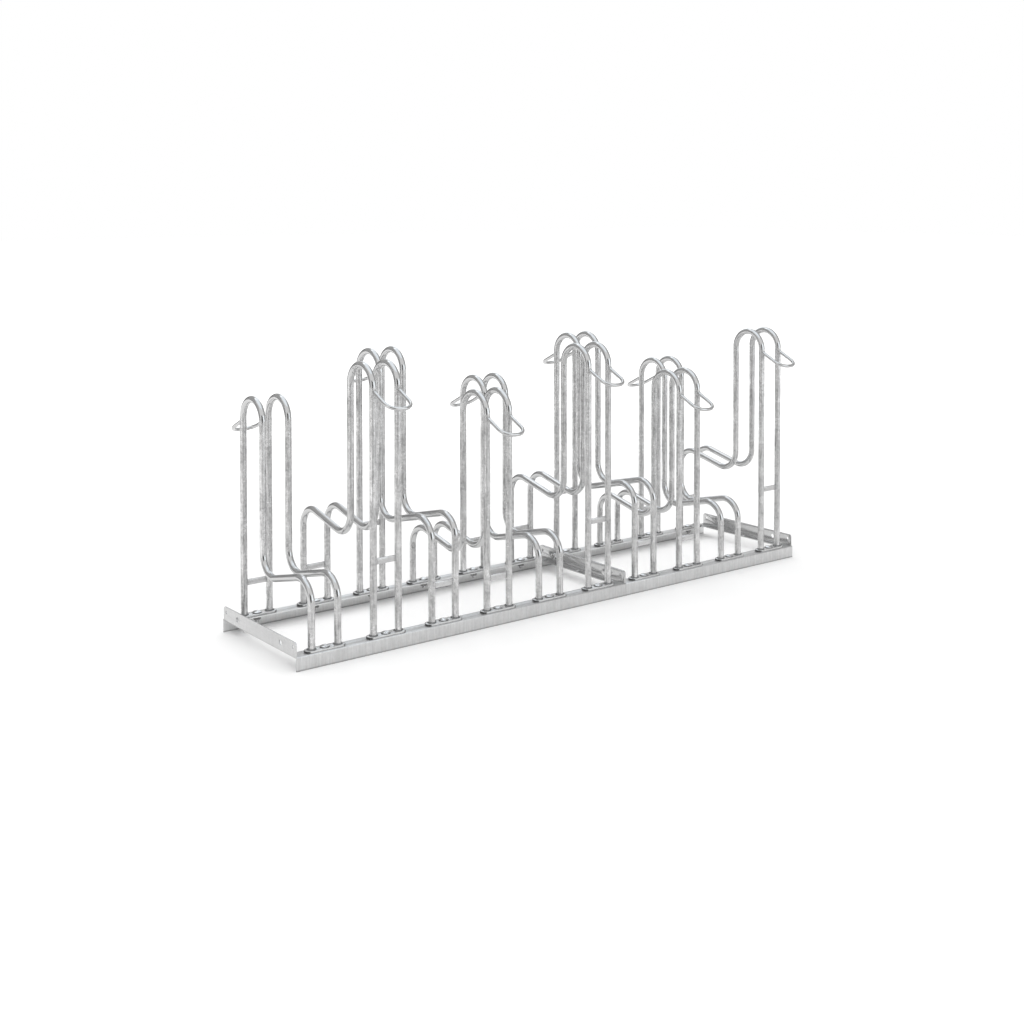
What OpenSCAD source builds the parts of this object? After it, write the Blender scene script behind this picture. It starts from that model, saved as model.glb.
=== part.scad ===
// Floor rack for bicycles that is used from both long sides.
// Each wheel place is a pair of bent tube hoops, and every other place is turned round.
// The places stand on two sections of angle rail that are bolted end to end.
// Length lies along X, depth along Y, and the floor is at z = 0 under the rack's middle.

/* [Places] */
// Distance from one wheel place to the next along the rack
place_pitch = 175; // [150:1:260]
// Clear gap between the two hoops of a place, which takes the tyre
tyre_gap = 55; // [50:1:70]
// Number of places in the left section
left_places = 6; // [2:1:6]
// Number of places in the right section
right_places = 4; // [2:1:4]
// Gap between the two sections at their seam
section_gap = 0.5; // [0.3:0.1:2]

/* [Hoops] */
// Outside diameter of the hoop tube
tube_d = 18; // [14:0.5:22]
// Wall of the hoop tube
tube_wall = 2; // [1:0.1:3]
// Distance between the two leg lines of a hoop, from the short leg to the tall one
leg_spacing = 352; // [330:1:420]
// Centre line radius of every bend of a hoop
bend_r = 53.5; // [40:0.5:58]
// Slope of the arm between the short leg and the tall loop, in degrees
arm_slope = 13.5; // [5:0.5:20]
// Height of a low hoop over the top of its loop
low_hoop_h = 618; // [580:1:700]
// How much higher a high hoop stands
hoop_raise = 100; // [60:1:140]
// Height of the tall loop, from the underside of its lower bend to its top
loop_h = 455.5; // [380:0.5:480]

/* [Tie bars] */
// Height of the flat tie bars
tie_h = 15; // [10:0.5:25]
// Thickness of the flat tie bars
tie_t = 5; // [3:0.5:8]
// Height of the middle of the tie bar between the tall legs of a low place
low_tie_z = 124; // [80:1:200]
// Height of the middle of the tie bar between the short legs of a high place
short_tie_z = 134.5; // [80:0.5:200]

/* [Lock eyes] */
// Diameter of the lock eye's rod
eye_d = 10; // [8:0.5:12]
// Distance from the leg line out to the centre of the eye's front bar
eye_reach = 79.5; // [65:0.5:100]
// Slope of the eye down from the legs, in degrees
eye_slope = 26; // [10:1:40]
// Centre line radius of the eye's two corners
eye_bend_r = 32; // [20:0.5:34]
// Distance from a hoop's top down to where the eye meets its legs
eye_drop = 68; // [62:1:120]

/* [Feet] */
// Width of the foot plates, across the rail
foot_w = 30; // [26:0.5:36]
// Thickness of the foot plates
foot_t = 5; // [3:0.5:8]
// Distance from a leg's centre to the end of its foot plate
foot_margin = 19; // [15:0.5:22]

/* [Long rails] */
// Width of the rails' top flange
rail_w = 38; // [34:0.5:50]
// Height of the rails, from the floor to the top of the flange
rail_h = 35; // [34:0.5:50]
// Thickness of the rails
rail_t = 3; // [2:0.1:4]
// Inside radius of the rails' bend
rail_inner_r = 0.5; // [0.5:0.1:2]

/* [Cross rails] */
// Height of the cross rails' upright flange
cross_h = 40; // [38:0.5:60]
// Width of the cross rails' level flange
cross_w = 22; // [21:0.5:40]
// Thickness of the cross rails
cross_t = 3; // [2:0.1:4]
// Inside radius of the cross rails' bend
cross_inner_r = 2; // [0.5:0.1:3]
// Radius of the upright flange's two upper corners
cross_corner_r = 8; // [2:0.5:10]
// Diameter of the small holes at the leg lines
end_hole_d = 8; // [5:0.5:10]
// Height of the small holes above the cross rail's underside
end_hole_h = 26.5; // [20:0.5:30]
// Diameter of the holes for the bolts that join two sections
joint_hole_d = 13; // [12.5:0.1:14]
// Distance between the two joining holes
joint_spacing = 228; // [180:1:280]
// Height of the joining holes above the cross rail's underside
joint_hole_h = 22; // [20:0.5:25]
// Diameter of the floor anchor hole in the level flange
anchor_hole_d = 11; // [8:0.5:12]

/* [Foot fasteners] */
// Shank diameter of the round-headed foot bolts
foot_bolt_d = 10; // [8:1:10]
// Length of the foot bolts under the head
foot_bolt_l = 25; // [22:1:30]
// Diameter of the foot bolts' round head
foot_head_d = 25; // [20:0.5:27]
// Height of the foot bolts' round head
foot_head_h = 5.4; // [4:0.1:7]
// Height of the straight rim round the head
foot_head_rim_h = 0.8; // [0.4:0.1:1.5]
// Height of the square neck under the head
foot_neck_h = 4.5; // [2:0.1:5]
// Width of the foot nuts across their flats
foot_nut_w = 17; // [15:0.5:19]
// Height of the foot nuts
foot_nut_h = 8; // [5:0.5:9]
// Diameter of the foot washers
foot_washer_d = 20; // [18:0.5:24]
// Thickness of the foot washers
foot_washer_t = 2; // [1:0.1:3]

/* [Joint fasteners] */
// Shank diameter of the bolts that join two sections
joint_bolt_d = 12; // [10:1:12]
// Length of the joint bolts under the head
joint_bolt_l = 30; // [28:1:40]
// Width of the joint bolts' heads and nuts across their flats
joint_nut_w = 18; // [17:0.5:21]
// Height of the joint bolts' heads
joint_head_h = 7.5; // [5:0.5:9]
// Height of the joint nuts
joint_nut_h = 10.5; // [6:0.5:12]
// Diameter of the joint washers
joint_washer_d = 24; // [22:0.5:28]
// Thickness of the joint washers
joint_washer_t = 2.5; // [1:0.1:3]

/* [Clearances] */
// Gap left round a tube where a coped or welded piece meets it
weld_gap = 0.2; // [0.1:0.05:0.4]
// Clearance all round a bolt's neck or shank in its own hole
bolt_clearance = 0.3; // [0.2:0.05:0.5]
// Clearance between a shank and its nut
thread_clearance = 0.1; // [0.05:0.05:0.2]
// Gap between a cross rail and the rails that it fits between
cross_clearance = 0.3; // [0.2:0.1:0.6]

/* [Hidden] */
place_count = left_places + right_places;
// Two-figure number of each place, counted from the left
place_names = [for (k = [1:place_count]) str(k < 10 ? "0" : "", k)];
hoop_sides = ["left", "right"];
section_names = ["left", "right"];
rail_sides = ["front", "back"];
cross_ends = ["outer", "seam"];
$fn = 96;
// Extra length of every cut, so that it passes clean through
overrun = 2;
zinc = "silver";
bright_zinc = "gainsboro";

// Places along the rack
place_w = tyre_gap + tube_d;
left_end = -place_count * place_pitch / 2 + section_gap / 2;
seam = left_end + left_places * place_pitch - section_gap / 2;
section_starts = [left_end, seam + section_gap / 2];
section_ends = [seam - section_gap / 2, left_end + place_count * place_pitch - section_gap];
leg_line = leg_spacing / 2;

// Heights of the rails and feet
flange_z = rail_h - rail_t;
foot_z = rail_h + foot_t;
cross_z = flange_z - cross_t;
rail_face_y = leg_line + rail_w / 2;
rail_inner_y = rail_face_y - rail_t;
cross_half_l = rail_inner_y - rail_inner_r - cross_clearance;
cross_outer_r = cross_t + cross_inner_r;
anchor_inset = (cross_outer_r + cross_w) / 2;

// A hoop's centre line, with u from the short leg to the tall one and v as the height
tube_r = tube_d / 2;
arm_rise = sin(arm_slope);
arm_run = cos(arm_slope);
inner_leg_u = leg_spacing - 2 * bend_r;
lower_bend_u = inner_leg_u - bend_r;
arm_start_u = lower_bend_u - bend_r * arm_rise;
arm_end_u = bend_r + bend_r * arm_rise;
arm_l = (arm_start_u - arm_end_u) / arm_run;
// The arm is drawn a hair thicker and tapers in a little inside both its bends, so that they join cleanly
arm_swell = 0.05;
arm_lap = 0.5;

// The centre of the joint bolts, and the stack that they clamp
joint_z = cross_z + joint_hole_h;
joint_grip = 2 * cross_t + section_gap;

// Height of a place's hoops: the places are low, high, high, low and so on
function is_high(k) = floor((k + 1) / 2) % 2 == 1;
function hoop_h(k) = low_hoop_h + (is_high(k) ? hoop_raise : 0);
function tie_z(k) = low_tie_z + (is_high(k) ? hoop_raise : 0);
function place_x(k) = left_end - section_gap / 2 + (k + 1 / 2) * place_pitch;
function section_places(s) = s == 0 ? [0:left_places - 1] : [left_places:place_count - 1];
// Heights of the lower bend's and the short bend's centres
function lower_bend_v(h) = h - loop_h + tube_r + bend_r;
function arm_end_v(h) = lower_bend_v(h) - bend_r * arm_run + arm_l * arm_rise;
function short_bend_v(h) = arm_end_v(h) - bend_r * arm_run;

// Turns the XY plane into the YZ plane, so that what is drawn there faces along X
module upright() {
    rotate([90, 0, 90]) children();
}

// Puts a place's pieces where they stand: even places have their tall side at the back
module at_place(k) {
    translate([place_x(k), 0, 0]) mirror([0, k % 2, 0]) children();
}

// Puts a piece at each fastener that holds the feet, on both leg lines of every place
module at_feet() {
    for (k = [0:place_count - 1], side = [-1, 1]) {
        translate([place_x(k), side * leg_line, 0]) children();
    }
}

// A straight stretch of a hoop's rod from a point of its plane, in a direction in degrees
module rod_run(d, from, direction, length) {
    translate(from) rotate([0, 90, direction]) cylinder(d = d, h = length);
}

// A bend of a hoop's rod about a point of its plane, turned over along one axis
module rod_bend(d, centre, flip, sweep) {
    translate(centre) mirror(flip) rotate_extrude(angle = sweep) translate([bend_r, 0]) circle(d = d);
}

// The arm of a hoop's rod, from its short bend down to its lower one
module rod_arm(d, from) {
    thick_r = (d + arm_swell) / 2;
    thin_r = (d - arm_swell) / 2;
    translate(from) rotate([0, 90, -arm_slope]) rotate_extrude() polygon([
        [0, -arm_lap],
        [thin_r, -arm_lap],
        [thick_r, 0],
        [thick_r, arm_l],
        [thin_r, arm_l + arm_lap],
        [0, arm_l + arm_lap]
    ]);
}

// A whole hoop as a solid rod, whose two feet reach down by a further length
module bent_rod(h, d, further) {
    crown_v = h - tube_r - bend_r;
    lower_v = lower_bend_v(h);
    short_v = short_bend_v(h);
    foot_v = foot_z - further;
    rod_run(d, [0, foot_v], 90, short_v - foot_v);
    rod_bend(d, [bend_r, short_v], [1, 0], 90 + arm_slope);
    rod_arm(d, [arm_end_u, arm_end_v(h)]);
    rod_bend(d, [lower_bend_u, lower_v], [0, 1], 90 + arm_slope);
    rod_run(d, [inner_leg_u, lower_v], 90, crown_v - lower_v);
    rod_bend(d, [leg_spacing - bend_r, crown_v], [0, 0], 180);
    rod_run(d, [leg_spacing, foot_v], 90, crown_v - foot_v);
}

// One hoop of a place: short leg, sloping arm, and the tall loop that holds the tyre upright
module hoop(k, side) {
    h = hoop_h(k);
    color(zinc) at_place(k) translate([side * place_w / 2, -leg_line, 0]) upright() difference() {
        bent_rod(h, tube_d, 0);
        bent_rod(h, tube_d - 2 * tube_wall, overrun);
    }
}

// The two tubes that a piece is coped round, a little larger so that the weld has its gap
module leg_copes(y, top) {
    for (side = [-1, 1]) {
        translate([side * place_w / 2, y, 0]) cylinder(r = tube_r + weld_gap, h = top);
    }
}

// Bent rod eye on the outside of the tall legs, for a lock or chain
module lock_eye(k) {
    root_z = hoop_h(k) - eye_drop;
    slant_l = eye_reach / cos(eye_slope);
    arm_l = slant_l - eye_bend_r;
    front_l = place_w - 2 * eye_bend_r;
    color(zinc) at_place(k) difference() {
        translate([0, leg_line, root_z]) rotate([-eye_slope, 0, 0]) {
            for (side = [-1, 1]) {
                translate([side * place_w / 2, 0, 0]) rotate([-90, 0, 0]) cylinder(d = eye_d, h = arm_l);
                translate([side * front_l / 2, arm_l, 0]) rotate(side > 0 ? 0 : 90) rotate_extrude(angle = 90)
                    translate([eye_bend_r, 0]) circle(d = eye_d);
            }
            translate([-front_l / 2, slant_l, 0]) rotate([0, 90, 0]) cylinder(d = eye_d, h = front_l);
        }
        leg_copes(leg_line, hoop_h(k));
    }
}

// Flat bar welded between two legs of a place
module flat_bar(y, z) {
    difference() {
        translate([-place_w / 2, y - tie_t / 2, z - tie_h / 2]) cube([place_w, tie_t, tie_h]);
        leg_copes(y, z + tie_h);
    }
}

// Tie bar between the tall legs of a place
module tie_bar(k) {
    color(zinc) at_place(k) flat_bar(leg_line, tie_z(k));
}

// Tie bars between the short legs, which only the high places have
module short_leg_tie_bars() {
    color(zinc) for (k = [0:place_count - 1]) {
        if (is_high(k)) {
            at_place(k) flat_bar(-leg_line, short_tie_z);
        }
    }
}

// One foot plate with round ends and a square hole for its bolt's neck
module foot_plate() {
    neck_hole = foot_bolt_d + 2 * bolt_clearance;
    end_u = place_w / 2 + foot_margin - foot_w / 2;
    translate([0, 0, rail_h]) linear_extrude(foot_t) difference() {
        union() {
            square([2 * end_u, foot_w], center = true);
            for (side = [-1, 1]) {
                translate([side * end_u, 0]) circle(d = foot_w);
            }
        }
        square(neck_hole, center = true);
    }
}

// The foot plates that stand on one long rail
module foot_plates(s, side) {
    color(zinc) for (k = section_places(s)) {
        translate([place_x(k), side * leg_line, 0]) foot_plate();
    }
}

// Angle section with its outer corner at the origin, one flange along -x and one along -y
module angle_section(across, down, thickness, inner_r) {
    outer_r = thickness + inner_r;
    translate([-across, -thickness]) square([across - outer_r, thickness]);
    translate([-thickness, -down]) square([thickness, down - outer_r]);
    translate([-outer_r, -outer_r]) intersection() {
        difference() {
            circle(outer_r);
            circle(inner_r);
        }
        square(outer_r);
    }
}

// Long rail of a section: its upright flange stands on the floor, its level flange points inward
module long_rail(s, side) {
    start = section_starts[s];
    length = section_ends[s] - start;
    notch_l = cross_t + cross_clearance;
    notch_w = rail_w - rail_t;
    color(zinc) mirror([0, side > 0 ? 0 : 1, 0]) difference() {
        translate([start, rail_face_y, rail_h]) upright()
            linear_extrude(length) angle_section(rail_w, rail_h, rail_t, rail_inner_r);
        for (x = [start - overrun, start + length - notch_l]) {
            translate([x, rail_inner_y - notch_w - overrun, flange_z - rail_inner_r])
                cube([notch_l + overrun, notch_w + overrun, rail_t + rail_inner_r + overrun]);
        }
        for (k = section_places(s)) {
            translate([place_x(k), leg_line, flange_z - overrun])
                cylinder(d = foot_bolt_d + 2 * bolt_clearance, h = rail_t + 2 * overrun);
        }
    }
}

// Outline of a cross rail seen along the rack, with its two upper corners rounded
module cross_outline() {
    flat_half_l = cross_half_l - cross_corner_r;
    translate([-cross_half_l, 0]) square([2 * cross_half_l, cross_h - cross_corner_r]);
    translate([-flat_half_l, 0]) square([2 * flat_half_l, cross_h]);
    for (side = [-1, 1]) {
        translate([side * flat_half_l, cross_h - cross_corner_r]) circle(cross_corner_r);
    }
}

// Cross rail whose upright flange closes a section's end, drawn for an end that faces +X
module cross_rail_shape() {
    difference() {
        intersection() {
            rotate([90, 0, 0]) linear_extrude(2 * cross_half_l, center = true)
                mirror([0, 1]) angle_section(cross_w, cross_h, cross_t, cross_inner_r);
            translate([-cross_w, 0, 0]) upright() linear_extrude(cross_w) cross_outline();
        }
        for (side = [-1, 1]) {
            translate([-cross_t - overrun, side * leg_line, end_hole_h]) rotate([0, 90, 0])
                cylinder(d = end_hole_d, h = cross_t + 2 * overrun);
            translate([-cross_t - overrun, side * joint_spacing / 2, joint_hole_h]) rotate([0, 90, 0])
                cylinder(d = joint_hole_d, h = cross_t + 2 * overrun);
        }
        translate([-anchor_inset, 0, -overrun]) cylinder(d = anchor_hole_d, h = cross_t + 2 * overrun);
    }
}

// The cross rail at a section's outer end or at the seam
module cross_rail(s, end) {
    faces_right = (s == 0) == (end == "seam");
    x = faces_right ? section_ends[s] : section_starts[s];
    color(zinc) translate([x, 0, cross_z]) mirror([faces_right ? 0 : 1, 0, 0]) cross_rail_shape();
}

// Half outline of a foot bolt's domed head, with the axis at x = 0
module foot_head_outline() {
    cap_h = foot_head_h - foot_head_rim_h;
    cap_r = (cap_h * cap_h + foot_head_d * foot_head_d / 4) / (2 * cap_h);
    square([foot_head_d / 2, foot_head_rim_h]);
    intersection() {
        translate([0, foot_head_h - cap_r]) circle(cap_r);
        translate([0, foot_head_rim_h / 2]) square([foot_head_d / 2, foot_head_h]);
    }
}

// Bolts with a round head and a square neck that hold the foot plates on the rails
module foot_bolts() {
    color(bright_zinc) at_feet() {
        translate([0, 0, foot_z]) rotate_extrude() foot_head_outline();
        translate([-foot_bolt_d / 2, -foot_bolt_d / 2, foot_z - foot_neck_h])
            cube([foot_bolt_d, foot_bolt_d, foot_neck_h]);
        translate([0, 0, foot_z - foot_bolt_l]) cylinder(d = foot_bolt_d, h = foot_bolt_l);
    }
}

// Flat washer
module washer(outer_d, bolt_d, thickness) {
    linear_extrude(thickness) difference() {
        circle(d = outer_d);
        circle(d = bolt_d + 2 * bolt_clearance);
    }
}

// Six-sided outline, measured across its flats
module hexagon(across_flats) {
    circle(d = across_flats / cos(30), $fn = 6);
}

// Nut with a plain bore in place of its thread
module nut(across_flats, bolt_d, height) {
    linear_extrude(height) difference() {
        hexagon(across_flats);
        circle(d = bolt_d + 2 * thread_clearance);
    }
}

// Washers under the rails' top flange
module foot_washers() {
    color(bright_zinc) at_feet()
        translate([0, 0, flange_z - foot_washer_t]) washer(foot_washer_d, foot_bolt_d, foot_washer_t);
}

// Nuts under the foot washers
module foot_nuts() {
    color(bright_zinc) at_feet() translate([0, 0, flange_z - foot_washer_t - foot_nut_h])
        nut(foot_nut_w, foot_bolt_d, foot_nut_h);
}

// Puts a piece on the axis of each joint bolt, with local z along the rack and 0 at the seam
module at_joints() {
    for (side = [-1, 1]) {
        translate([seam, side * joint_spacing / 2, joint_z]) rotate([0, 90, 0]) children();
    }
}

// Hexagon bolts that clamp the two sections together
module joint_bolts() {
    seat = -joint_grip / 2 - joint_washer_t;
    color(bright_zinc) at_joints() {
        translate([0, 0, seat - joint_head_h]) linear_extrude(joint_head_h) hexagon(joint_nut_w);
        translate([0, 0, seat]) cylinder(d = joint_bolt_d, h = joint_bolt_l);
    }
}

// Washers under the joint bolts' heads and nuts
module joint_washers() {
    color(bright_zinc) at_joints() for (z = [-joint_grip / 2 - joint_washer_t, joint_grip / 2]) {
        translate([0, 0, z]) washer(joint_washer_d, joint_bolt_d, joint_washer_t);
    }
}

// Nuts of the joint bolts
module joint_nuts() {
    color(bright_zinc) at_joints() translate([0, 0, joint_grip / 2 + joint_washer_t])
        nut(joint_nut_w, joint_bolt_d, joint_nut_h);
}

for (k = [0:place_count - 1]) {
    name = place_names[k];
    hoop(k, -1);
    hoop(k, 1);
    lock_eye(k);
    tie_bar(k);
}
short_leg_tie_bars();
for (s = [0, 1]) {
    name = section_names[s];
    foot_plates(s, -1);
    foot_plates(s, 1);
    long_rail(s, -1);
    long_rail(s, 1);
    cross_rail(s, "outer");
    cross_rail(s, "seam");
}
foot_bolts();
foot_washers();
foot_nuts();
joint_bolts();
joint_washers();
joint_nuts();
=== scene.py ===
import math

import bmesh
import bpy
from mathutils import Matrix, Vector


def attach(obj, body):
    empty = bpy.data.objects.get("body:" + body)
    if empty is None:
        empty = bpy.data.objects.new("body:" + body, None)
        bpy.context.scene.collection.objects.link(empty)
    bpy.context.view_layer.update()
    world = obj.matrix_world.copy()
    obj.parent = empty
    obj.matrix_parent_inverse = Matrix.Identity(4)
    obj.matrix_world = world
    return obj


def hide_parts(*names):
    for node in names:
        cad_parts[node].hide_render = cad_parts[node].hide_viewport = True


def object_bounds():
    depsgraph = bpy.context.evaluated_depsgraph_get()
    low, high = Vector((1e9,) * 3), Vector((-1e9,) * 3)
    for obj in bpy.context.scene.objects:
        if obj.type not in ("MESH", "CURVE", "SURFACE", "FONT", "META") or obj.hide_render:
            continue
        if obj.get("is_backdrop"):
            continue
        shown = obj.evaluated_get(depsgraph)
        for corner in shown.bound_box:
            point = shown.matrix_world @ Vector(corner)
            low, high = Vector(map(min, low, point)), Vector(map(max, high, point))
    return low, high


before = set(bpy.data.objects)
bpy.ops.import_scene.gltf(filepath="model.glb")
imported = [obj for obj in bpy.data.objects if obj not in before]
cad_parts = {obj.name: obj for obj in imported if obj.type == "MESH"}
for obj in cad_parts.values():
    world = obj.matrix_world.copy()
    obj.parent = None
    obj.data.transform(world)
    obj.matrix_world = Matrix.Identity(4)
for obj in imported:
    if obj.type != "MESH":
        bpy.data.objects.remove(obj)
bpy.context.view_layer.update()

# Main sizes of the rack in metres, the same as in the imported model
rack = {
    "placePitch": 0.175,
    "leftPlaces": 6,
    "rightPlaces": 4,
    "legSpacing": 0.352,
    "tyreGap": 0.055,
    "railTop": 0.035,
    "railThickness": 0.003,
    "footTop": 0.040,
}
placeCount = rack["leftPlaces"] + rack["rightPlaces"]
legLine = rack["legSpacing"] / 2
underFlange = rack["railTop"] - rack["railThickness"]
sideNames = {-1: "left", 1: "right"}

# Faces that meet at more degrees than this are shaded with a sharp edge
sharpAngle = {"flat": 35, "tube": 50, "bolt": 60}


def report(stage):
    print("rack:", stage)


def placeX(k):
    return (k + 0.5 - placeCount / 2) * rack["placePitch"]


def tallSide(k):
    return 1 if k % 2 == 0 else -1      # even places have their tall loops at the back


def isHigh(k):
    return (k + 1) // 2 % 2 == 1        # low, high, high, low along the rack


def ease(x):
    t = min(max(x, 0.0), 1.0)
    return t * t * (3 - 2 * t)


def addPiece(name, mesh, angle=None):
    mesh.polygons.foreach_set("use_smooth", [True] * len(mesh.polygons))
    if angle:
        mesh.set_sharp_from_angle(angle=math.radians(angle))
    piece = bpy.data.objects.new(name, mesh)
    bpy.context.collection.objects.link(piece)
    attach(piece, "root")
    return piece


def meshPiece(name, points, faces, angle=None):
    mesh = bpy.data.meshes.new(name)
    mesh.from_pydata([tuple(p) for p in points], [], faces)
    mesh.validate()
    bm = bmesh.new()
    bm.from_mesh(mesh)
    bmesh.ops.recalc_face_normals(bm, faces=bm.faces)
    bm.to_mesh(mesh)
    bm.free()
    return addPiece(name, mesh, angle)


def newMaterial(name):
    material = bpy.data.materials.new(name)
    material.use_nodes = True
    tree = material.node_tree
    tree.nodes.clear()
    return material, tree


def addNode(tree, kind, inputs=None, **settings):
    node = tree.nodes.new(kind)
    for key, value in settings.items():
        setattr(node, key, value)
    for key, value in (inputs or {}).items():
        if isinstance(value, bpy.types.NodeSocket):
            tree.links.new(value, node.inputs[key])
        else:
            node.inputs[key].default_value = value
    return node


def mathNode(tree, operation, a, b=None, clamp=False):
    inputs = {0: a} if b is None else {0: a, 1: b}
    return addNode(tree, "ShaderNodeMath", inputs, operation=operation, use_clamp=clamp).outputs[0]


def vectorNode(tree, operation, a, b):
    return addNode(tree, "ShaderNodeVectorMath", {0: a, 1: b}, operation=operation).outputs[0]


def rangeNode(tree, value, fromLow, fromHigh, toLow, toHigh, **settings):
    inputs = {0: value, 1: fromLow, 2: fromHigh, 3: toLow, 4: toHigh}
    return addNode(tree, "ShaderNodeMapRange", inputs, **settings).outputs[0]


# A mix node's two inputs and its output, by the kind of data
mixSockets = {"FLOAT": (2, 3, 0), "RGBA": (6, 7, 2)}


def mixNode(tree, kind, factor, a, b):
    first, second, result = mixSockets[kind]
    mix = addNode(tree, "ShaderNodeMix", {"Factor": factor, first: a, second: b}, data_type=kind)
    return mix.outputs[result]


def rampNode(tree, value, stops):
    node = addNode(tree, "ShaderNodeValToRGB", {0: value})
    ramp = node.color_ramp
    while len(ramp.elements) < len(stops):
        ramp.elements.new(0.5)
    for element, (place, colour) in zip(ramp.elements, stops):
        element.position = place
        element.color = (*colour, 1)
    return node.outputs[0]


# What all zinc finishes share
zincPattern = {
    "middle": 0.5,
    "mottleDetail": 3.0,
    "mottleRoughness": 0.6,
    "spangleBend": 1.6,         # how far noise bends the spangles' outlines, in spangle sizes
    "patchDetail": 2.0,
    "patchRoughness": 0.5,
    "streakDetail": 4.0,
    "streakRoughness": 0.65,
    "spangleRelief": 0.35,
    "drawnFlattening": 0.93,    # share of the relief that a drawn bend loses
}


def zinc(name, look):
    material, tree = newMaterial(name)
    middle = zincPattern["middle"]
    if look["tube"]:
        place = addNode(tree, "ShaderNodeAttribute", attribute_name="tubeSpace").outputs["Vector"]
    else:
        place = addNode(tree, "ShaderNodeTexCoord").outputs["Object"]

    def noise(vector, size, detail, roughness):
        inputs = {"Vector": vector, "Scale": 1 / size, "Detail": detail, "Roughness": roughness}
        return addNode(tree, "ShaderNodeTexNoise", inputs)

    wobble = noise(place, look["mottleSize"], zincPattern["mottleDetail"],
                   zincPattern["mottleRoughness"])
    mottle = wobble.outputs["Fac"]
    shift = vectorNode(tree, "SUBTRACT", wobble.outputs["Color"], (middle, middle, middle))
    push = addNode(tree, "ShaderNodeVectorMath", operation="SCALE", inputs={
        0: shift, "Scale": look["spangleSize"] * zincPattern["spangleBend"]})
    bent = vectorNode(tree, "ADD", place, push.outputs[0])
    cells = addNode(tree, "ShaderNodeTexVoronoi", {
        "Vector": bent, "Scale": 1 / look["spangleSize"]})
    spangle = addNode(tree, "ShaderNodeSeparateColor", {0: cells.outputs["Color"]}).outputs[0]
    patches = noise(place, look["patchSize"], zincPattern["patchDetail"],
                    zincPattern["patchRoughness"]).outputs["Fac"]
    squeezed = vectorNode(tree, "MULTIPLY", place, look["streakStretch"])
    streaks = noise(squeezed, look["streakSize"], zincPattern["streakDetail"],
                    zincPattern["streakRoughness"]).outputs["Fac"]

    # The four patterns are added up round the middle, each by its share
    total = middle
    for pattern, share in ((spangle, look["spangle"]), (mottle, look["mottle"]),
                           (patches, look["patches"]), (streaks, look["streaks"])):
        part = mathNode(tree, "MULTIPLY", mathNode(tree, "SUBTRACT", pattern, middle), share)
        total = mathNode(tree, "ADD", part, total)
    stops = [(0.0, look["darkTone"]), (middle, look["midTone"]), (1.0, look["paleTone"])]
    tone = rampNode(tree, total, stops)
    if look["lowHeight"]:
        # Painted contact shade: the bottom edge, where it meets the floor, is darkened in the
        # colour
        height = addNode(tree, "ShaderNodeSeparateXYZ", {0: place}).outputs["Z"]
        shade = rangeNode(tree, height, 0.0, look["lowHeight"], look["paintedContactShade"], 1.0)
        tone = vectorNode(tree, "MULTIPLY", tone, shade)
    unevenness = mathNode(tree, "SUBTRACT", total, middle)
    rough = mathNode(tree, "ADD", mathNode(tree, "MULTIPLY", unevenness, look["roughSpread"]),
                     look["roughness"], clamp=True)
    cellRelief = mathNode(tree, "MULTIPLY", spangle, zincPattern["spangleRelief"])
    relief = mathNode(tree, "ADD", cellRelief, mottle)

    if look["tube"]:
        # Drawn bends are bright and smooth, straight stretches are mottled and dull
        drawn = addNode(tree, "ShaderNodeAttribute", attribute_name="drawn").outputs["Fac"]
        tone = mixNode(tree, "RGBA", drawn, tone, (*look["drawnTone"], 1))
        rough = mixNode(tree, "FLOAT", drawn, rough, look["drawnRoughness"])
        flattening = mathNode(tree, "MULTIPLY", drawn, zincPattern["drawnFlattening"])
        relief = mathNode(tree, "MULTIPLY", relief, mathNode(tree, "SUBTRACT", 1.0, flattening))
    bump = addNode(tree, "ShaderNodeBump", {
        "Height": relief, "Strength": look["bump"], "Distance": look["reliefDepth"]})
    metal = addNode(tree, "ShaderNodeBsdfPrincipled", {
        "Metallic": look["metallic"], "Base Color": tone, "Roughness": rough,
        "Normal": bump.outputs["Normal"]})
    addNode(tree, "ShaderNodeOutputMaterial", {"Surface": metal.outputs[0]})
    return material


def greys(dark, middle, pale):
    return {"darkTone": (dark,) * 3, "midTone": (middle,) * 3, "paleTone": (pale,) * 3}


hoopZincLook = {
    "tube": True,
    "mottleSize": 0.0030,
    "spangleSize": 0.0055,
    "patchSize": 0.05,
    "streakSize": 0.0034,
    "streakStretch": (1.0, 1.0, 0.05),
    "spangle": 0.3,
    "mottle": 0.55,
    "patches": 0.65,
    "streaks": 1.6,
    "darkTone": (0.26, 0.26, 0.261),
    "midTone": (0.585, 0.583, 0.582),
    "paleTone": (0.90, 0.90, 0.90),
    "roughness": 0.29,
    "roughSpread": -0.15,
    "bump": 0.5,
    "reliefDepth": 0.0006,
    "metallic": 0.9,
    "drawnTone": (0.565, 0.565, 0.565),
    "drawnRoughness": 0.105,
    "lowHeight": 0.0,
}
eyeZincLook = dict(hoopZincLook, mottle=0.4, streaks=0.4, patches=0.4, roughness=0.22, bump=0.25)
# The rails darken their colour over the bottom lowHeight, a painted contact shade along the floor
railZincLook = dict(
    hoopZincLook, tube=False,
    streakStretch=(1.0, 1.0, 0.07), streakSize=0.0042,
    spangle=0.1, mottle=0.16, patches=0.25, streaks=0.8,
    roughness=0.31, roughSpread=-0.1, metallic=0.7, bump=0.1,
    lowHeight=0.0045, paintedContactShade=0.4,
    **greys(0.39, 0.57, 0.75))
crossZincLook = dict(
    railZincLook, streaks=0.6, roughness=0.24, metallic=0.9, lowHeight=0.0,
    **greys(0.47, 0.595, 0.72))
# Painted light: a paler copy of the rail zinc for the rails' inner faces, lighter than the outer
# faces of the same zinc
paintedLightInnerZincLook = dict(railZincLook, **greys(0.57, 0.75, 0.93))
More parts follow.
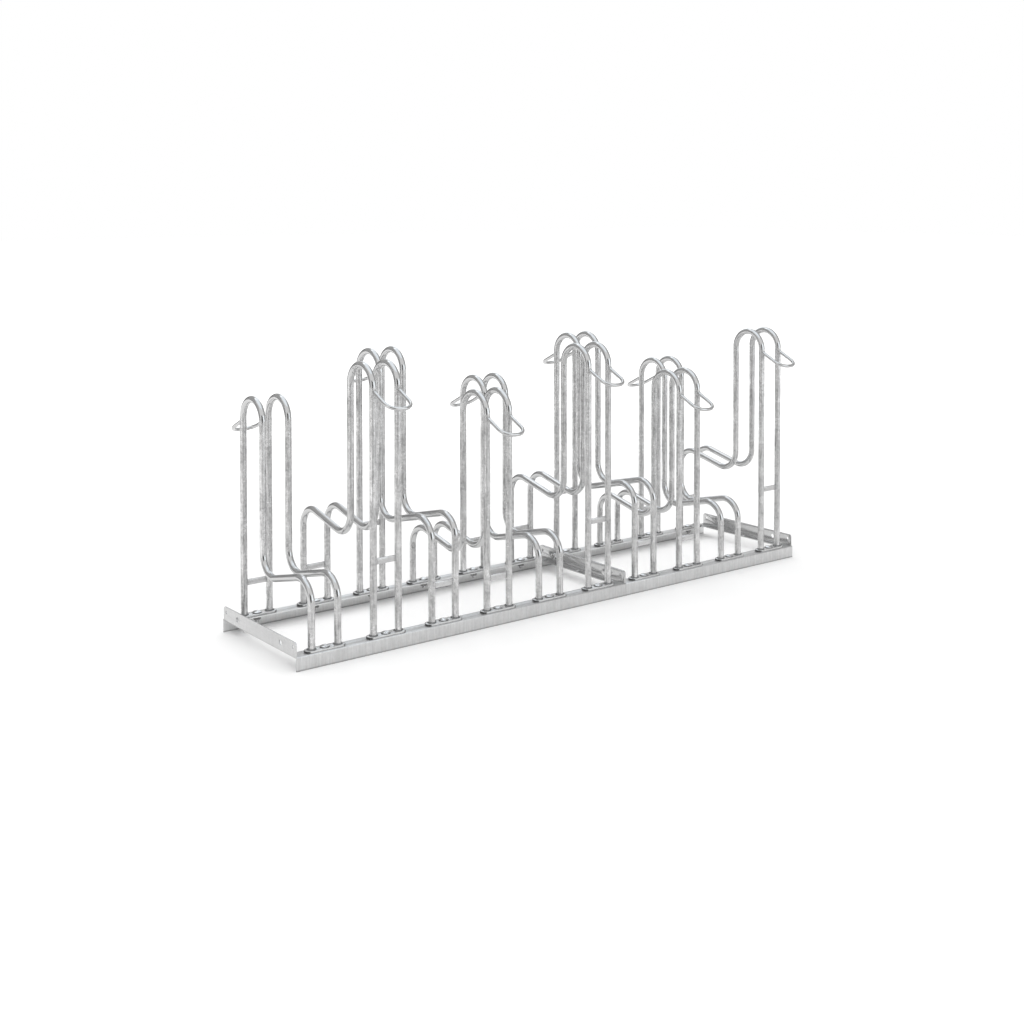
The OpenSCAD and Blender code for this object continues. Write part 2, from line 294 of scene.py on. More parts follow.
# Painted highlight: a pale, dull copy for the rails' end corners, which shows as a light line at
# the seam
paintedHighlightZincLook = dict(railZincLook, streaks=0.0, metallic=0.0, **greys(0.88, 0.94, 0.98))
flatZincLook = dict(railZincLook, streakStretch=(1.0, 1.0, 1.0), roughness=0.24)
# Painted shade: a near-black copy for the rails' under edges, the foot plates' ends and the foot
# bolts' rims
paintedShadeZincLook = dict(flatZincLook, roughness=0.35, **greys(0.05, 0.11, 0.22))
boltZincLook = dict(
    flatZincLook, spangle=0.12, mottle=0.18, streaks=0.1, patches=0.2,
    roughness=0.12, metallic=1.0,
    **greys(0.45, 0.62, 0.80))
weldZincLook = dict(
    flatZincLook, mottleSize=0.002, roughness=0.18, bump=0.5,
    **greys(0.08, 0.20, 0.44))
beadZincLook = dict(weldZincLook, **greys(0.32, 0.46, 0.66))

hoopZinc = zinc("hoopZinc", hoopZincLook)
eyeZinc = zinc("eyeZinc", eyeZincLook)
railZinc = zinc("railZinc", railZincLook)
crossZinc = zinc("crossZinc", crossZincLook)
flatZinc = zinc("flatZinc", flatZincLook)
boltZinc = zinc("boltZinc", boltZincLook)
weldZinc = zinc("weldZinc", weldZincLook)
beadZinc = zinc("beadZinc", beadZincLook)
paintedShadeZinc = zinc("paintedShadeZinc", paintedShadeZincLook)
paintedLightInnerZinc = zinc("paintedLightInnerZinc", paintedLightInnerZincLook)
paintedHighlightZinc = zinc("paintedHighlightZinc", paintedHighlightZincLook)
report("zinc finishes ready")


# Faces between rings of points, one ring after another along a rod or a bead
def joinRings(faces, first, rings, sides, closed=False):
    for i in range(rings if closed else rings - 1):
        n = (i + 1) % rings
        for j in range(sides):
            m = (j + 1) % sides
            faces.append((first + i * sides + j, first + i * sides + m,
                          first + n * sides + m, first + n * sides + j))
    if not closed:
        faces.append(tuple(first + j for j in reversed(range(sides))))
        faces.append(tuple(first + (rings - 1) * sides + j for j in range(sides)))


# Faces between profiles of points, one profile after another round an axis
def joinProfiles(faces, first, sides, count, closed=True):
    for i in range(sides):
        n = (i + 1) % sides
        for j in range(count if closed else count - 1):
            m = (j + 1) % count
            faces.append((first + i * count + j, first + n * count + j,
                          first + n * count + m, first + i * count + m))
    if not closed:
        faces.append(tuple(first + i * count for i in reversed(range(sides))))
        faces.append(tuple(first + i * count + count - 1 for i in range(sides)))


# A run is a list of stations on a flat path: the spot, the way ahead and how drawn the tube is
def straightRun(start, end, step, drawn):
    length = (end - start).length
    count = max(1, round(length / step))
    way = (end - start).normalized()
    return [(start.lerp(end, i / count), way, drawn) for i in range(count + 1)]


def bendRun(centre, radius, first, last, step):
    count = max(2, round(abs(last - first) / math.radians(step)))
    turn = 1 if last > first else -1
    stations = []
    for i in range(count + 1):
        t = first + (last - first) * i / count
        out = Vector((math.cos(t), math.sin(t)))
        stations.append((centre + radius * out, turn * Vector((-out.y, out.x)), 1.0))
    return stations


def tubePiece(name, stations, toWorld, planeNormal, radius, sides, shift, material):
    points, faces, space, marks = [], [], [], []
    along = 0.0
    before = None
    for flat, way, drawn in stations:
        if before is not None:
            along += (flat - before).length
        before = flat
        out = Vector((-way.y, way.x))
        for j in range(sides):
            a = 2 * math.pi * j / sides
            points.append(toWorld(flat + out * radius * math.cos(a))
                          + planeNormal * radius * math.sin(a))
            space += (radius * math.cos(a) + shift[0],
                      radius * math.sin(a) + shift[1],
                      along + shift[2])
            marks.append(drawn)
    joinRings(faces, 0, len(stations), sides)
    piece = meshPiece(name, points, faces, sharpAngle["tube"])
    attributes = piece.data.attributes
    attributes.new("tubeSpace", "FLOAT_VECTOR", "POINT").data.foreach_set("vector", space)
    attributes.new("drawn", "FLOAT", "POINT").data.foreach_set("value", marks)
    piece.data.materials.append(material)
    return piece


hoopParts = {
    "tubeRadius": 0.009,
    "bendRadius": 0.0535,
    "armSlope": 13.5,
    "lowHeight": 0.618,
    "raise": 0.100,
    "loopHeight": 0.4555,
    "sides": 32,
    "bendStep": 3.0,
    "straightStep": 0.03,
    "fadeLength": 0.012,    # the tube gets brighter over this length before a bend and in it
    "fadeSteps": 4,
    "fadeShare": 0.5,       # how drawn the tube is where the bend starts
    "shift": (0.31, 0.17, 0.77),    # moves the zinc's pattern from one hoop to the next
}
halfPlace = rack["tyreGap"] / 2 + hoopParts["tubeRadius"]


def hoopHeight(k):
    return hoopParts["lowHeight"] + (hoopParts["raise"] if isHigh(k) else 0)


def hoopStations(height):
    radius = hoopParts["bendRadius"]
    slope = math.radians(hoopParts["armSlope"])
    step = hoopParts["straightStep"]
    turn = hoopParts["bendStep"]
    fadeLength = hoopParts["fadeLength"]
    fadeSteps = hoopParts["fadeSteps"]
    fadeShare = hoopParts["fadeShare"]
    spacing = rack["legSpacing"]
    foot = rack["footTop"]
    innerLeg = spacing - 2 * radius

    # Centres of the three bends, and the two ends of the arm between the first two
    low = Vector((innerLeg - radius,
                  height - hoopParts["loopHeight"] + hoopParts["tubeRadius"] + radius))
    armLow = low + radius * Vector((-math.sin(slope), -math.cos(slope)))
    armLength = (armLow.x - radius - radius * math.sin(slope)) / math.cos(slope)
    armHigh = armLow + armLength * Vector((-math.cos(slope), math.sin(slope)))
    short = armHigh - radius * Vector((math.sin(slope), math.cos(slope)))
    crown = Vector((spacing - radius, height - hoopParts["tubeRadius"] - radius))

    def fade(u, dull, bright):
        return [(Vector((u, dull + (bright - dull) * i / fadeSteps)), Vector((0, 1)),
                 ease(i / fadeSteps) * fadeShare) for i in range(1, fadeSteps + 1)]

    def leg(u, bottom, top):
        dull = top - fadeLength
        return straightRun(Vector((u, bottom)), Vector((u, dull)), step, 0.0) + fade(u, dull, top)

    def bend(centre, first, last, fadeIn=False, fadeOut=False):
        run = bendRun(centre, radius, first, last, turn)
        eased = []
        for i, (spot, way, drawn) in enumerate(run):
            fromStart = i if fadeIn else len(run)
            fromEnd = len(run) - 1 - i if fadeOut else len(run)
            gone = min(fromStart, fromEnd) * math.radians(turn) * radius
            share = fadeShare + (1 - fadeShare) * ease(gone / fadeLength)
            eased.append((spot, way, drawn * share))
        return eased

    stations = leg(0, foot, short.y)
    stations += bend(short, math.pi, math.pi / 2 - slope, fadeIn=True)[1:]
    stations += straightRun(armHigh, armLow, step, 1.0)[1:-1]
    stations += bend(low, -math.pi / 2 - slope, 0, fadeOut=True)
    stations += list(reversed(fade(innerLeg, low.y + fadeLength, low.y)))[1:]
    stations += leg(innerLeg, low.y + fadeLength, crown.y)
    stations += bend(crown, math.pi, 0, fadeIn=True, fadeOut=True)[1:]
    down = reversed(leg(spacing, foot, crown.y))
    stations += [(spot, -way, drawn) for spot, way, drawn in down][1:]
    return stations


for k in range(placeCount):
    stations = hoopStations(hoopHeight(k))
    turned = tallSide(k)
    alongShift, sideShift, tubeShift = hoopParts["shift"]
    for side, sideName in sideNames.items():
        x = placeX(k) + side * halfPlace
        name = f"{k + 1:02d}_{sideName}"
        hoop = tubePiece(
            f"hoopTube_{name}", stations,
            lambda p: Vector((x, turned * (p.x - legLine), p.y)),
            Vector((1, 0, 0)), hoopParts["tubeRadius"], hoopParts["sides"],
            (alongShift * k, sideShift * side, tubeShift * k), hoopZinc)
        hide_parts(f"hoop_{name}")
report("hoops bent")

eyeParts = {
    "radius": 0.005,
    "reach": 0.0795,
    "slope": 26.0,
    "cornerRadius": 0.032,
    "drop": 0.068,
    "rootDepth": 0.0065,
    "sides": 24,
    "cornerStep": 5.0,
    "straightStep": 0.02,
    "armDrawn": 0.6,
    "frontDrawn": 0.8,
    "shift": (0.4, 0.23, 0.9),
}


def eyeStations():
    front = eyeParts["reach"] / math.cos(math.radians(eyeParts["slope"]))
    corner = eyeParts["cornerRadius"]
    root = eyeParts["rootDepth"]
    step = eyeParts["straightStep"]
    turn = eyeParts["cornerStep"]
    armDrawn = eyeParts["armDrawn"]
    leftRoot, leftEnd = Vector((-halfPlace, root)), Vector((-halfPlace, front - corner))
    rightRoot, rightEnd = Vector((halfPlace, root)), Vector((halfPlace, front - corner))
    left = Vector((-halfPlace + corner, front - corner))
    right = Vector((halfPlace - corner, front - corner))
    ahead = Vector((0, corner))
    stations = straightRun(leftRoot, leftEnd, step, armDrawn)
    stations += bendRun(left, corner, math.pi, math.pi / 2, turn)[1:]
    stations += straightRun(left + ahead, right + ahead, step, eyeParts["frontDrawn"])[1:]
    stations += bendRun(right, corner, math.pi / 2, 0, turn)[1:]
    stations += straightRun(rightEnd, rightRoot, step, armDrawn)[1:]
    return stations


def eyeSpot(k):
    slope = math.radians(eyeParts["slope"])
    turned = tallSide(k)
    middle = Vector((placeX(k), turned * legLine, hoopHeight(k) - eyeParts["drop"]))
    out = Vector((0, turned * math.cos(slope), -math.sin(slope)))
    up = Vector((0, turned * math.sin(slope), math.cos(slope)))
    return middle, out, up


for k in range(placeCount):
    middle, out, up = eyeSpot(k)
    acrossShift, upShift, rodShift = eyeParts["shift"]
    eye = tubePiece(
        f"lockEyeRod_{k + 1:02d}", eyeStations(),
        lambda p: middle + Vector((p.x, 0, 0)) + out * p.y,
        up, eyeParts["radius"], eyeParts["sides"],
        (acrossShift, upShift * k, rodShift), eyeZinc)
    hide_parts(f"lock_eye_{k + 1:02d}")
report("lock eyes bent")

# How the edges of the rails, plates and bars are softened, in metres and degrees
softening = {
    "mergeDistance": 1e-6,
    "flatAngle": 0.4,
    "edgeAngle": 40,
    "longEdge": 0.03,
    "longSegments": 4,
    "shortSegments": 2,
    "railWidth": 0.0014,
    "railShortWidth": 0.0005,
    "crossWidth": 0.0010,
    "plateWidth": 0.0010,
    "barWidth": 0.0006,
}

# Shares of a face's normal along an axis, which tell a piece's sides apart
normalShare = {
    "plateEndLevel": 0.5,
    "plateEndAlong": 0.4,
    "under": 0.3,
    "corner": 0.15,
    "cornerLevel": 0.2,
    "inside": 0.9,
}


def isLongEdge(edge):
    return edge.calc_length() > softening["longEdge"]


def isShortEdge(edge):
    return not isLongEdge(edge)


def isPlateEnd(normal):
    level = abs(normal.z) < normalShare["plateEndLevel"]
    return level and abs(normal.x) > normalShare["plateEndAlong"]


def isUnderEdge(normal):
    return normal.z < -normalShare["under"]


def isEndCorner(normal):
    level = abs(normal.z) < normalShare["cornerLevel"]
    return level and min(abs(normal.x), abs(normal.y)) > normalShare["corner"]


def isFrontRailInside(normal):
    return normal.y > normalShare["inside"]


def isBackRailInside(normal):
    return normal.y < -normalShare["inside"]


def bevelEdges(bm, width, segments, rule=None):
    sharp = math.radians(softening["edgeAngle"])
    edges = [e for e in bm.edges if len(e.link_faces) == 2 and e.calc_face_angle() > sharp
             and (rule is None or rule(e))]
    bmesh.ops.bevel(bm, geom=edges, offset=width, segments=segments, profile=0.5,
                    affect="EDGES", clamp_overlap=True)


# A packed flat piece again, its edges softened: the short ones by shortWidth where it is given.
# Faces whose normal meets a rule in finishes get that rule's material
def roundedCopy(name, node, material, width, shortWidth=None, finishes=()):
    bm = bmesh.new()
    bm.from_mesh(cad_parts[node].data)
    bmesh.ops.remove_doubles(bm, verts=bm.verts, dist=softening["mergeDistance"])
    bmesh.ops.dissolve_limit(bm, angle_limit=math.radians(softening["flatAngle"]),
                             verts=bm.verts, edges=bm.edges)
    if shortWidth:
        bevelEdges(bm, width, softening["longSegments"], isLongEdge)
        bevelEdges(bm, shortWidth, softening["shortSegments"], isShortEdge)
    else:
        bevelEdges(bm, width, softening["shortSegments"])
    bm.normal_update()
    for face in bm.faces:
        for index, (rule, _) in enumerate(finishes, 1):
            if rule(face.normal):
                face.material_index = index
    mesh = bpy.data.meshes.new(name)
    bm.to_mesh(mesh)
    bm.free()
    piece = addPiece(name, mesh, sharpAngle["flat"])
    for finish in (material, *(finish for _, finish in finishes)):
        mesh.materials.append(finish)
    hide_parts(node)


for section in ("left", "right"):
    for rail, isInside in (("front", isFrontRailInside), ("back", isBackRailInside)):
        place = f"{section}_{rail}"
        # Under edges get painted shade, end corners a painted highlight, inner faces painted light
        roundedCopy(f"railAngle_{place}", f"rail_{place}", railZinc,
                    softening["railWidth"], softening["railShortWidth"],
                    [(isUnderEdge, paintedShadeZinc), (isEndCorner, paintedHighlightZinc), (isInside, paintedLightInnerZinc)])
        # The foot plates' ends get painted shade
        roundedCopy(f"footPlates_{place}", f"foot_plates_{place}", flatZinc,
                    softening["plateWidth"], finishes=[(isPlateEnd, paintedShadeZinc)])
    for end in ("outer", "seam"):
        place = f"{section}_{end}"
        roundedCopy(f"crossAngle_{place}", f"cross_rail_{place}", crossZinc,
                    softening["crossWidth"])
for k in range(placeCount):
    roundedCopy(f"tieFlat_{k + 1:02d}", f"tie_bar_{k + 1:02d}", flatZinc,
                softening["barWidth"])
roundedCopy("shortLegTieFlats", "short_leg_tie_bars", flatZinc, softening["barWidth"])
report("rails, plates and tie bars finished")

footBolt = {
    "headRadius": 0.0125,
    "headHeight": 0.0054,
    "rimHeight": 0.0016,
    "rimChamfer": (0.0004, 0.0003),
    "domeSteps": 12,
    "domeTip": 0.02,
    "shankRadius": 0.005,
    "threadDepth": 0.0006,
    "threadPitch": 0.0015,
    "length": 0.025,
    "washerRadius": 0.010,
    "washerThickness": 0.002,
    "nutWidth": 0.017,
    "nutHeight": 0.008,
    "clearance": 0.0003,
}
jointBolt = {
    "seamX": 0.175,
    "spacing": 0.228,
    "height": 0.051,
    "grip": 0.0065,
    "shankRadius": 0.006,
    "threadDepth": 0.0007,
    "threadPitch": 0.00175,
    "length": 0.030,
    "headHeight": 0.0075,
    "nutWidth": 0.018,
    "nutHeight": 0.0105,
    "washerRadius": 0.012,
    "washerThickness": 0.0025,
    "clearance": 0.0003,
}
turning = {
    "roundSides": 48,
    "washerEdge": 0.0003,
    "threadSides": 24,
    "threadRows": 6,        # rings of points in each turn of the thread
    "tipChamfer": 0.0008,
    "hexSides": 48,
    "hexFace": 0.96,        # the level face's share of the width, inside the chamfer
    "hexChamfer": 30,
    "hexCentre": 0.0004,    # a bolt's head has a pinhole of this radius in place of a bore
}


def shifted(x, y, z):
    return lambda p: p + Vector((x, y, z))


def sideways(x, y, z):
    return lambda p: Vector((x + p.z, y + p.y, z - p.x))     # local z points along x


def backwards(x, y, z):
    return lambda p: Vector((x - p.z, y - p.y, z - p.x))     # local z points against x


def latheInto(points, faces, profile, place, closed=False):
    first = len(points)
    sides = turning["roundSides"]
    for i in range(sides):
        a = 2 * math.pi * i / sides
        for r, z in profile:
            points.append(place(Vector((r * math.cos(a), r * math.sin(a), z))))
    joinProfiles(faces, first, sides, len(profile), closed)


def domeProfile(bolt):
    radius, height, rim = bolt["headRadius"], bolt["headHeight"], bolt["rimHeight"]
    inset, rise = bolt["rimChamfer"]
    steps = bolt["domeSteps"]
    cap = height - rim
    ball = (cap * cap + radius * radius) / (2 * cap)
    profile = [(radius - inset, 0.0), (radius, rise), (radius, rim)]
    for i in range(1, steps):
        r = radius * (1 - i / steps)
        profile.append((r, height - ball + math.sqrt(ball * ball - r * r)))
    profile.append((radius * bolt["domeTip"], height))
    return profile


def washerProfile(bolt):
    inner = bolt["shankRadius"] + bolt["clearance"]
    outer = bolt["washerRadius"]
    thickness = bolt["washerThickness"]
    edge = turning["washerEdge"]
    return [(inner, 0), (outer - edge, 0), (outer, edge), (outer, thickness - edge),
            (outer - edge, thickness), (inner, thickness)]


def screwInto(points, faces, bolt, bottom, top, place):
    first = len(points)
    sides = turning["threadSides"]
    rows = max(2, round((top - bottom) / bolt["threadPitch"] * turning["threadRows"]))
    for i in range(rows + 1):
        z = bottom + (top - bottom) * i / rows
        for j in range(sides):
            turn = (z / bolt["threadPitch"] + j / sides) % 1.0
            groove = abs(turn * 2 - 1)
            r = bolt["shankRadius"] - bolt["threadDepth"] * groove
            if i == 0:
                r -= turning["tipChamfer"]
            a = 2 * math.pi * j / sides
            points.append(place(Vector((r * math.cos(a), r * math.sin(a), z))))
    joinRings(faces, first, rows + 1, sides)


def hexInto(points, faces, width, height, bore, place, chamferTop=True):
    sides = turning["hexSides"]
    first = len(points)
    flat = width / 2
    level = flat * turning["hexFace"]
    inner = max(bore, turning["hexCentre"])
    sixth = math.pi / 3
    for i in range(sides):
        a = 2 * math.pi * (i + 0.5) / sides
        turn = (a + sixth / 2) % sixth - sixth / 2
        edge = flat / math.cos(turn)
        drop = (edge - level) * math.tan(math.radians(turning["hexChamfer"]))
        high = drop if chamferTop else 0.0
        profile = [(inner, height), (level, height), (edge, height - high),
                   (edge, drop), (level, 0.0), (inner, 0.0)]
        for r, z in profile:
            points.append(place(Vector((r * math.cos(a), r * math.sin(a), z))))
    joinProfiles(faces, first, sides, len(profile))


def groupPiece(name, node, points, faces, angle=sharpAngle["flat"], paintedShadeBelow=None,
               finish=boltZinc):
    piece = meshPiece(name, points, faces, angle)
    piece.data.materials.append(finish)
    # Painted shade: faces above the foot top, up to this height, get the near-black zinc
    if paintedShadeBelow:
        piece.data.materials.append(paintedShadeZinc)
        for face in piece.data.polygons:
            if rack["footTop"] < face.center.z < paintedShadeBelow:
                face.material_index = 1
    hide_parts(node)


feet = [(placeX(k), side * legLine) for k in range(placeCount) for side in (-1, 1)]
footSeat = underFlange - footBolt["washerThickness"]
footTip = rack["footTop"] - footBolt["length"]

points, faces = [], []
for x, y in feet:
    latheInto(points, faces, domeProfile(footBolt), shifted(x, y, rack["footTop"]))
    screwInto(points, faces, footBolt, footTip, footSeat, shifted(x, y, 0))
# The heads' rims get a ring of painted shade where they sit on the plates
groupPiece("footBoltSet", "foot_bolts", points, faces, sharpAngle["bolt"],
           paintedShadeBelow=rack["footTop"] + footBolt["rimHeight"])

points, faces = [], []
for x, y in feet:
    latheInto(points, faces, washerProfile(footBolt), shifted(x, y, footSeat), closed=True)
groupPiece("footWasherSet", "foot_washers", points, faces, finish=weldZinc)

points, faces = [], []
for x, y in feet:
    hexInto(points, faces, footBolt["nutWidth"], footBolt["nutHeight"], footBolt["shankRadius"],
            shifted(x, y, footSeat - footBolt["nutHeight"]))
groupPiece("footNutSet", "foot_nuts", points, faces, finish=weldZinc)

jointSpots = [(jointBolt["seamX"], side * jointBolt["spacing"] / 2, jointBolt["height"])
              for side in (-1, 1)]
jointSeat = -jointBolt["grip"] / 2 - jointBolt["washerThickness"]
jointNutSeat = jointBolt["grip"] / 2 + jointBolt["washerThickness"]
jointTip = jointSeat + jointBolt["length"]

points, faces = [], []
for x, y, z in jointSpots:
    hexInto(points, faces, jointBolt["nutWidth"], jointBolt["headHeight"], 0,
            sideways(x + jointSeat - jointBolt["headHeight"], y, z), chamferTop=False)
    screwInto(points, faces, jointBolt, -jointTip, -jointSeat, backwards(x, y, z))
groupPiece("jointBoltSet", "joint_bolts", points, faces, sharpAngle["bolt"])

points, faces = [], []
for x, y, z in jointSpots:
    for start in (jointSeat, jointBolt["grip"] / 2):
        latheInto(points, faces, washerProfile(jointBolt), sideways(x + start, y, z), closed=True)
groupPiece("jointWasherSet", "joint_washers", points, faces)

points, faces = [], []
for x, y, z in jointSpots:
    hexInto(points, faces, jointBolt["nutWidth"], jointBolt["nutHeight"], jointBolt["shankRadius"],
            sideways(x + jointNutSeat, y, z))
groupPiece("jointNutSet", "joint_nuts", points, faces)
report("fasteners turned")

weldParts = {
    "footLeg": 0.0030,
    "footSides": 90,
    "footRipples": 15,
    "footWaves": ((0.12, 2, 1), (0.07, 5, 2)),      # share, waves round the leg, share of the phase
    "footCurve": ((0.22, 0.93), (0.62, 0.62), (0.93, 0.22)),
    "footSink": 0.0005,
    "footDip": 0.0003,
    "footPhase": (1.7, 9),
    "ripple": 0.13,
    "beadSides": 8,
    "beadEnd": 0.35,
    "beadTaper": 0.16,
    "upright": 0.9,
    "tieRadius": 0.0019,
    "tieHeight": 0.015,
    "tieThickness": 0.005,
    "tieLift": 0.0002,
    "tieShare": 0.96,
    "tieSteps": 24,
    "tieRipples": 6,
    "lowTie": 0.124,
    "shortTie": 0.1345,
    "eyeRadius": 0.0016,
    "eyeSteps": 60,
    "eyeRipples": 12,
}


def footWeldInto(points, faces, x, y, phase):
    sides = weldParts["footSides"]
    tube = hoopParts["tubeRadius"]
    bottom = rack["footTop"]
    first = len(points)
    for i in range(sides):
        a = 2 * math.pi * i / sides
        swell = 1 + weldParts["ripple"] * math.cos(a * weldParts["footRipples"] + phase)
        for share, waves, phaseShare in weldParts["footWaves"]:
            swell += share * math.sin(waves * a + phaseShare * phase)
        size = weldParts["footLeg"] * swell
        inner = tube - weldParts["footSink"]
        under = bottom - weldParts["footDip"]
        curve = [(tube + across * size, bottom + up * size)
                 for across, up in weldParts["footCurve"]]
        profile = [(inner, under), (inner, bottom + size), *curve, (tube + size, under)]
        for r, z in profile:
            points.append(Vector((x + r * math.cos(a), y + r * math.sin(a), z)))
    joinProfiles(faces, first, sides, len(profile))


def beadInto(points, faces, path, radius, ripples, closed):
    sides = weldParts["beadSides"]
    ending = weldParts["beadEnd"]
    first = len(points)
    count = len(path)
    for i, spot in enumerate(path):
        ahead = path[(i + 1) % count] if closed or i < count - 1 else spot
        behind = path[i - 1] if closed or i > 0 else spot
        way = (ahead - behind).normalized()
        if abs(way.z) > weldParts["upright"]:
            across = way.orthogonal().normalized()
        else:
            across = way.cross(Vector((0, 0, 1))).normalized()
        other = way.cross(across)
        swell = radius * (1 + weldParts["ripple"] * math.cos(2 * math.pi * ripples * i / count))
        if not closed:
            fromEnd = min(i, count - 1 - i)
            swell *= ending + (1 - ending) * ease(fromEnd / (count * weldParts["beadTaper"]))
        for j in range(sides):
            a = 2 * math.pi * j / sides
            points.append(spot + across * swell * math.cos(a) + other * swell * math.sin(a))
    joinRings(faces, first, count, sides, closed)


def tieWeldsInto(points, faces, k, y, z):
    tube = hoopParts["tubeRadius"]
    half = weldParts["tieThickness"] / 2
    height = weldParts["tieHeight"]
    share = weldParts["tieShare"]
    steps = weldParts["tieSteps"]
    reach = math.sqrt(tube * tube - half * half)
    for side in (-1, 1):
        x = placeX(k) + side * (halfPlace - reach - weldParts["tieLift"])
        for face in (-1, 1):
            spot = y + face * (half + weldParts["tieLift"])
            path = [Vector((x, spot, z + height * (i / steps - 0.5) * share))
                    for i in range(steps + 1)]
            beadInto(points, faces, path, weldParts["tieRadius"], weldParts["tieRipples"], False)


def eyeWeldsInto(points, faces, k):
    middle, out, up = eyeSpot(k)
    tube = hoopParts["tubeRadius"]
    rod = eyeParts["radius"]
    steps = weldParts["eyeSteps"]
    turned = tallSide(k)
    for side in (-1, 1):
        path = []
        for i in range(steps):
            a = 2 * math.pi * i / steps
            across = rod * math.cos(a)
            depth = math.sqrt(tube * tube - across * across)
            reach = (depth - turned * rod * math.sin(a) * up.y) / (turned * out.y)
            root = middle + Vector((side * halfPlace + across, 0, 0))
            path.append(root + up * rod * math.sin(a) + out * reach)
        beadInto(points, faces, path, weldParts["eyeRadius"], weldParts["eyeRipples"], True)


for k in range(placeCount):
    points, faces = [], []
    turned = tallSide(k)
    placePhase, linePhase = weldParts["footPhase"]
    for side in (-1, 1):
        for y in (-legLine, legLine):
            phase = placePhase * k + side + linePhase * y
            footWeldInto(points, faces, placeX(k) + side * halfPlace, y, phase)
    tieZ = weldParts["lowTie"] + (hoopParts["raise"] if isHigh(k) else 0)
    tieWeldsInto(points, faces, k, turned * legLine, tieZ)
    if isHigh(k):
        tieWeldsInto(points, faces, k, -turned * legLine, weldParts["shortTie"])
    eyeWeldsInto(points, faces, k)
    welds = meshPiece(f"welds_{k + 1:02d}", points, faces)
    welds.data.materials.append(weldZinc)
    welds.data.materials.append(beadZinc)
    beadsFrom = rack["footTop"] + 2 * weldParts["footLeg"]
    for face in welds.data.polygons:
        face.material_index = 1 if face.center.z > beadsFrom else 0
report("welds laid")

studio = {
    "floorSize": 60.0,
    "floorTone": 0.9,
    "floorGlow": 0.3,
    "glowStart": 1.1,
    "glowEnd": 4.0,
    "innerPaintedLight": 0.12,
    "innerReach": (0.79, 0.188),
    "innerSoft": (0.06, 0.005),
    "roomLight": 1.1,
    "backdrop": 1.0,
}
white = (1, 1, 1, 1)
lamps = {
    "keyLamp": {"place": (-2.6, -2.0, 3.4), "target": (0, 0, 0.3), "size": (2.6, 2.6), "power": 26},
    "backLamp": {"place": (0.6, 2.8, 3.2), "target": (0, 0, 0.1), "size": (3.0, 2.0), "power": 26},
}

# Reflection cards round the rack, which only the metal sees. Each has its azimuth from the back
# towards the right and its elevation, both in degrees, and its tone
room = {"radius": 6.0, "gap": 0.05, "eyeLevel": 0.4, "step": 3.0}
cards = {
    "overhead": ((-180, 180), (56, 90), (1.32, 1.41, 1.49)),
    "backWall": ((-62, 16), (-4, 50), (0.46, 0.46, 0.46)),
    "leftWall": ((-92, -62), (-4, 38), (0.52, 0.52, 0.52)),
    "rightWall": ((62, 136), (0, 60), (0.50, 0.50, 0.50)),
    "sideStrip": ((20, 50), (17, 50), (1.32, 1.41, 1.49)),
    "sideLow": ((18, 56), (-2, 17), (0.58, 0.58, 0.58)),
    "backStrip": ((-34, 32), (54, 64), (1.8, 1.88, 1.95)),
    "window": ((141, 184), (1, 25), (1.70, 1.8, 1.88)),
    "behindCamera": ((-162, -120), (-4, 22), (0.03, 0.03, 0.03)),
    "backLow": ((-66, -36), (-9, 3), (0.08, 0.08, 0.08)),
    "backMiddle": ((-24, 6), (2, 22), (0.24, 0.24, 0.24)),
}
floorCard = {
    "nearEdge": -0.42,
    "farEdge": -5.8,
    "halfWidth": 4.0,
    "gap": 0.002,
    "tone": (0.86, 0.86, 0.86),
}


def softLamp(name, place, target, size, power):
    lamp = bpy.data.lights.new(name, "AREA")
    lamp.shape = "RECTANGLE"
    lamp.size, lamp.size_y = size
    lamp.energy = power
    holder = bpy.data.objects.new(name, lamp)
    holder.location = place
    holder.rotation_euler = (Vector(target) - Vector(place)).to_track_quat("-Z", "Y").to_euler()
    holder.visible_glossy = False       # the overhead card stands for the lamps in the metal
    bpy.context.collection.objects.link(holder)


def hangCard(name, points, faces, tone):
    mesh = bpy.data.meshes.new(name)
    mesh.from_pydata(points, [], faces)
    card = bpy.data.objects.new(name, mesh)
    bpy.context.collection.objects.link(card)
    material, tree = newMaterial(name)
    glow = addNode(tree, "ShaderNodeEmission", {"Color": (*tone, 1), "Strength": 1.0})
    addNode(tree, "ShaderNodeOutputMaterial", {"Surface": glow.outputs[0]})
    mesh.materials.append(material)
    card.visible_camera = False
    card.visible_diffuse = False
    card.visible_shadow = False
    card.visible_transmission = False
    card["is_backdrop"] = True


def reflectionCard(name, radius, azimuths, elevations, tone):
    (leftEdge, rightEdge), (lowEdge, highEdge) = azimuths, elevations
    columns = max(1, round((rightEdge - leftEdge) / room["step"]))
    rows = max(1, round((highEdge - lowEdge) / room["step"]))
    points = []
    for j in range(rows + 1):
        elevation = math.radians(lowEdge + (highEdge - lowEdge) * j / rows)
        for i in range(columns + 1):
            azimuth = math.radians(leftEdge + (rightEdge - leftEdge) * i / columns)
            points.append((radius * math.cos(elevation) * math.sin(azimuth),
                           radius * math.cos(elevation) * math.cos(azimuth),
                           room["eyeLevel"] + radius * math.sin(elevation)))
    width = columns + 1
    faces = [(j * width + i, j * width + i + 1, (j + 1) * width + i + 1, (j + 1) * width + i)
             for j in range(rows) for i in range(columns)]
    hangCard(name, points, faces, tone)


def seenRays(tree):
    rays = addNode(tree, "ShaderNodeLightPath")
    seen = mathNode(tree, "MAXIMUM", rays.outputs["Is Camera Ray"], rays.outputs["Is Glossy Ray"])
    return mathNode(tree, "MAXIMUM", seen, rays.outputs["Is Transmission Ray"])


